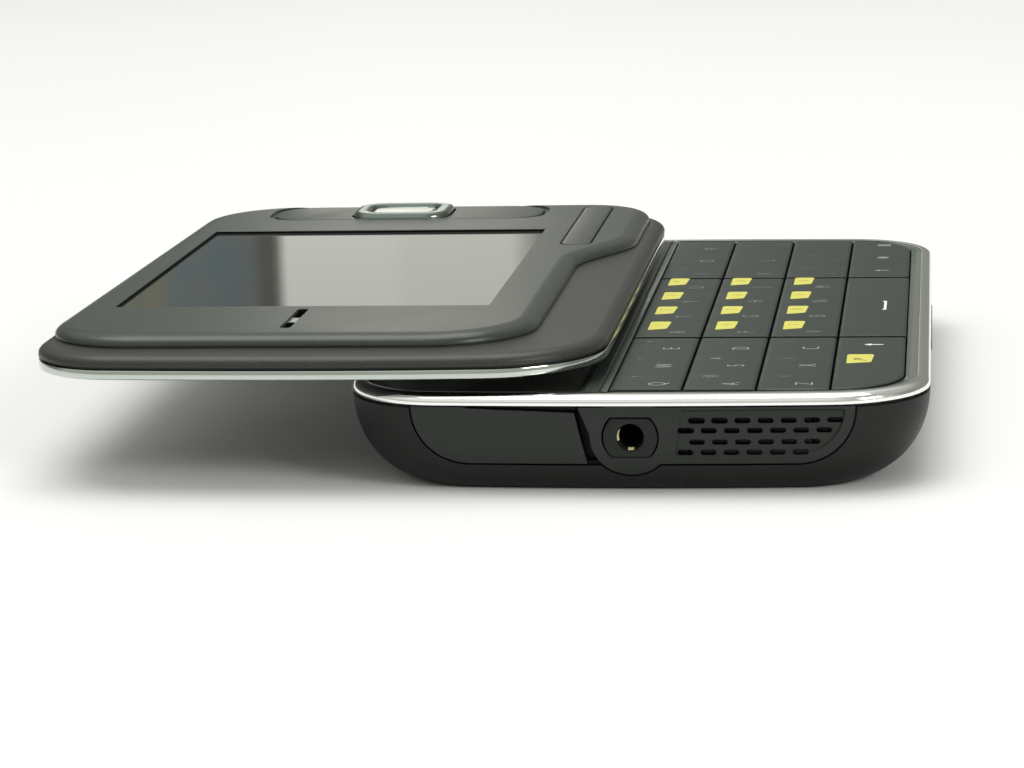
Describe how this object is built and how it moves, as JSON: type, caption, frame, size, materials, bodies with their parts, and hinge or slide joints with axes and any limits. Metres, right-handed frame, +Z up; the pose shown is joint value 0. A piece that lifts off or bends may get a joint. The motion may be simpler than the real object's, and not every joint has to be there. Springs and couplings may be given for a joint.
{
  "type": "slider phone",
  "caption": "Slider phone lying open: the display half slides sideways off a landscape keypad; headset socket, charging door and speaker grille in the near end.",
  "frame": {"origin": "middle of the lower half's flat underside, which lies on the table", "axes": "+Z up; the phone's length runs along Y, with the headset socket at -Y; the upper half opens along -X and closes along +X"},
  "size_m": [0.0896, 0.0974, 0.0155],
  "materials": {
    "housing_black": "soft-touch satin",
    "bright_trim": "polished",
    "keypad_band": "glossy",
    "end_grey": "satin",
    "insert_black": "satin",
    "gold_contact": "gold-plated",
    "steel_shell": "satin",
    "mesh_dark": "woven",
    "board_green": "solder mask",
    "dome_film": "film",
    "mat_rubber": "matt",
    "battery_wrap": "satin wrap",
    "lens_black": "black",
    "window_dark": "tinted",
    "antenna_copper": "copper film",
    "flex_amber": "amber film",
    "key_grey": "satin",
    "cover_brown": "satin, finely speckled",
    "face_grey": "satin",
    "display_glass": "clear glossy window over a dark display",
    "display_dark": "dark",
    "select_silver": "glossy"
  },
  "bodies": {
    "base": {"lower_housing": "housing_black", "base_trim": "bright_trim", "keypad_frame": "keypad_band", "end_panel": "end_grey", "speaker_mesh": "mesh_dark", "loudspeaker": "steel_shell", "jack_insert": "insert_black", "jack_contacts": "gold_contact", "usb_socket": "steel_shell", "main_board": "board_green", "shield_cans": "steel_shell", "dome_sheet": "dome_film", "key_mat": "mat_rubber", "fixed_slide_plate": "steel_shell", "battery_frame": "insert_black", "battery": "battery_wrap", "battery_contacts": "gold_contact", "camera_module": "lens_black", "sim_holder": "steel_shell", "card_slot": "steel_shell", "vibration_motor": "steel_shell", "microphone": "steel_shell", "antenna": "antenna_copper", "housing_screws": "steel_shell", "slide_flex": "flex_amber", "slide_springs": "steel_shell"},
    "slider": {"slider_cover": "cover_brown", "slider_trim": "bright_trim", "face_plate": "face_grey", "display_window": "display_glass", "display_module": "display_dark", "slider_back": "insert_black", "moving_slide_plate": "steel_shell", "earpiece": "steel_shell", "earpiece_mesh": "mesh_dark", "slider_board": "board_green", "slider_screws": "steel_shell"},
    "rear_cover": {"battery_cover": "housing_black", "camera_window": "window_dark"},
    "charger_flap": {"charger_door": "end_grey"},
    "volume": {"volume_key": "end_grey"},
    "shutter": {"camera_key": "end_grey"},
    "keys_qwe_body": {"keys_qwe": "key_grey"},
    "keys_rtyu_body": {"keys_rtyu": "key_grey"},
    "keys_iop_body": {"keys_iop": "key_grey"},
    "keys_asd_body": {"keys_asd": "key_grey"},
    "keys_fghj_body": {"keys_fghj": "key_grey"},
    "keys_kl_body": {"keys_kl": "key_grey"},
    "keys_zxc_body": {"keys_zxc": "key_grey"},
    "keys_vbnm_body": {"keys_vbnm": "key_grey"},
    "keys_comma_body": {"keys_comma": "key_grey"},
    "shift_key_body": {"shift_key": "key_grey"},
    "space_key_body": {"space_key": "key_grey"},
    "symbol_keys_body": {"symbol_keys": "key_grey"},
    "navi_ring_body": {"navi_ring": "bright_trim"},
    "select_key_body": {"select_key": "select_silver"},
    "call_key_body": {"call_key": "key_grey"},
    "end_key_body": {"end_key": "key_grey"},
    "menu_key_body": {"menu_key": "key_grey"}
  },
  "joints": [
    {"name": "slider_slide", "type": "slide", "parent": "base", "child": "slider", "axis": [1, 0, 0], "range_m": [0, 0.03202], "deforming": ["slide_flex", "slide_springs"]},
    {"name": "battery_cover_slide", "type": "slide", "parent": "base", "child": "rear_cover", "axis": [0, 1, 0], "range_m": [0, 0.012]},
    {"name": "charger_door_pull", "type": "slide", "parent": "base", "child": "charger_flap", "axis": [0, -1, 0], "range_m": [0, 0.006]},
    {"name": "volume_press", "type": "slide", "parent": "base", "child": "volume", "axis": [-1, 0, 0], "range_m": [0, 0.0002], "stiffness_N_per_m": 800},
    {"name": "camera_press", "type": "slide", "parent": "base", "child": "shutter", "axis": [1, 0, 0], "range_m": [0, 0.0002], "stiffness_N_per_m": 800},
    {"name": "keys_qwe_press", "type": "slide", "parent": "base", "child": "keys_qwe_body", "axis": [0, 0, -1], "range_m": [0, 0.0003], "stiffness_N_per_m": 800},
    {"name": "keys_rtyu_press", "type": "slide", "parent": "base", "child": "keys_rtyu_body", "axis": [0, 0, -1], "range_m": [0, 0.0003], "stiffness_N_per_m": 800},
    {"name": "keys_iop_press", "type": "slide", "parent": "base", "child": "keys_iop_body", "axis": [0, 0, -1], "range_m": [0, 0.0003], "stiffness_N_per_m": 800},
    {"name": "keys_asd_press", "type": "slide", "parent": "base", "child": "keys_asd_body", "axis": [0, 0, -1], "range_m": [0, 0.0003], "stiffness_N_per_m": 800},
    {"name": "keys_fghj_press", "type": "slide", "parent": "base", "child": "keys_fghj_body", "axis": [0, 0, -1], "range_m": [0, 0.0003], "stiffness_N_per_m": 800},
    {"name": "keys_kl_press", "type": "slide", "parent": "base", "child": "keys_kl_body", "axis": [0, 0, -1], "range_m": [0, 0.0003], "stiffness_N_per_m": 800},
    {"name": "keys_zxc_press", "type": "slide", "parent": "base", "child": "keys_zxc_body", "axis": [0, 0, -1], "range_m": [0, 0.0003], "stiffness_N_per_m": 800},
    {"name": "keys_vbnm_press", "type": "slide", "parent": "base", "child": "keys_vbnm_body", "axis": [0, 0, -1], "range_m": [0, 0.0003], "stiffness_N_per_m": 800},
    {"name": "keys_comma_press", "type": "slide", "parent": "base", "child": "keys_comma_body", "axis": [0, 0, -1], "range_m": [0, 0.0003], "stiffness_N_per_m": 800},
    {"name": "shift_key_press", "type": "slide", "parent": "base", "child": "shift_key_body", "axis": [0, 0, -1], "range_m": [0, 0.0003], "stiffness_N_per_m": 800},
    {"name": "space_key_press", "type": "slide", "parent": "base", "child": "space_key_body", "axis": [0, 0, -1], "range_m": [0, 0.0003], "stiffness_N_per_m": 800},
    {"name": "symbol_keys_press", "type": "slide", "parent": "base", "child": "symbol_keys_body", "axis": [0, 0, -1], "range_m": [0, 0.0003], "stiffness_N_per_m": 800},
    {"name": "navi_ring_press", "type": "slide", "parent": "slider", "child": "navi_ring_body", "axis": [0, 0, -1], "range_m": [0, 0.0002], "stiffness_N_per_m": 800},
    {"name": "select_key_press", "type": "slide", "parent": "slider", "child": "select_key_body", "axis": [0, 0, -1], "range_m": [0, 0.0003], "stiffness_N_per_m": 800},
    {"name": "call_key_press", "type": "slide", "parent": "slider", "child": "call_key_body", "axis": [0, 0, -1], "range_m": [0, 0.0002], "stiffness_N_per_m": 800},
    {"name": "end_key_press", "type": "slide", "parent": "slider", "child": "end_key_body", "axis": [0, 0, -1], "range_m": [0, 0.0002], "stiffness_N_per_m": 800},
    {"name": "menu_key_press", "type": "slide", "parent": "slider", "child": "menu_key_body", "axis": [0, 0, -1], "range_m": [0, 0.0002], "stiffness_N_per_m": 800}
  ]
}
